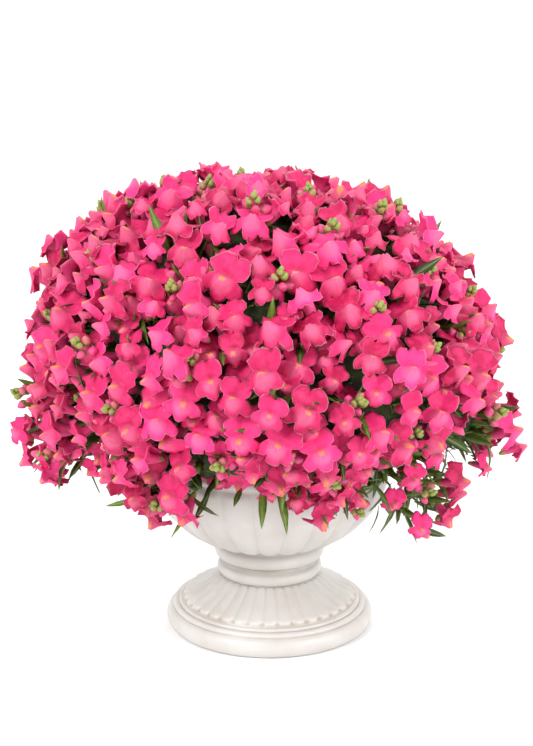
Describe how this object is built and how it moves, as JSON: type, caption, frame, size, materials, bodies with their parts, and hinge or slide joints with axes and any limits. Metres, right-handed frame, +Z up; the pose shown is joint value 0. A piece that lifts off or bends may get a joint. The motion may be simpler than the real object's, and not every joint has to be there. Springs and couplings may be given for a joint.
{
  "type": "potted snapdragon",
  "caption": "Snapdragon plant in full pink flower, a dome of two-lipped florets on green stems, planted in soil in a white footed urn with a gadrooned bowl.",
  "frame": {"origin": "centre of the flat underside of the urn's foot", "axes": "+Z up, -Y towards the front that the picture shows, +X to the right of that view"},
  "size_m": [0.5076, 0.488, 0.4741],
  "materials": {
    "cast_white": "moulded resin, antique white, satin",
    "damp_soil": "damp peat and bark",
    "leaf_green": "fresh leaf, half matt",
    "petal_pink": "velvety petal"
  },
  "bodies": {
    "root": {"urn_foot": "cast_white", "urn_bowl": "cast_white", "potting_soil": "damp_soil", "bush": "leaf_green", "flower_head_01": "petal_pink", "flower_head_02": "petal_pink", "flower_head_03": "petal_pink", "flower_head_04": "petal_pink", "flower_head_05": "petal_pink", "flower_head_06": "petal_pink", "flower_head_07": "petal_pink", "flower_head_08": "petal_pink", "flower_head_09": "petal_pink", "flower_head_10": "petal_pink", "flower_head_11": "petal_pink", "flower_head_12": "petal_pink", "flower_head_13": "petal_pink", "flower_head_14": "petal_pink", "flower_head_15": "petal_pink", "flower_head_16": "petal_pink", "flower_head_17": "petal_pink", "flower_head_18": "petal_pink", "flower_head_19": "petal_pink", "flower_head_20": "petal_pink", "flower_head_21": "petal_pink", "flower_head_22": "petal_pink", "flower_head_23": "petal_pink", "flower_head_24": "petal_pink", "flower_head_25": "petal_pink", "flower_head_26": "petal_pink", "flower_head_27": "petal_pink", "flower_head_28": "petal_pink", "flower_head_29": "petal_pink", "flower_head_30": "petal_pink", "flower_head_31": "petal_pink", "flower_head_32": "petal_pink", "flower_head_33": "petal_pink", "flower_head_34": "petal_pink", "flower_head_35": "petal_pink", "flower_head_36": "petal_pink", "flower_head_37": "petal_pink", "flower_head_38": "petal_pink", "flower_head_39": "petal_pink", "flower_head_40": "petal_pink", "flower_head_41": "petal_pink", "flower_head_42": "petal_pink", "flower_head_43": "petal_pink", "flower_head_44": "petal_pink", "flower_head_45": "petal_pink", "flower_head_46": "petal_pink", "flower_head_47": "petal_pink", "flower_head_48": "petal_pink", "flower_head_49": "petal_pink", "flower_head_50": "petal_pink", "flower_head_51": "petal_pink", "flower_head_52": "petal_pink", "flower_head_53": "petal_pink", "flower_head_54": "petal_pink", "flower_head_55": "petal_pink", "flower_head_56": "petal_pink"}
  },
  "joints": []
}
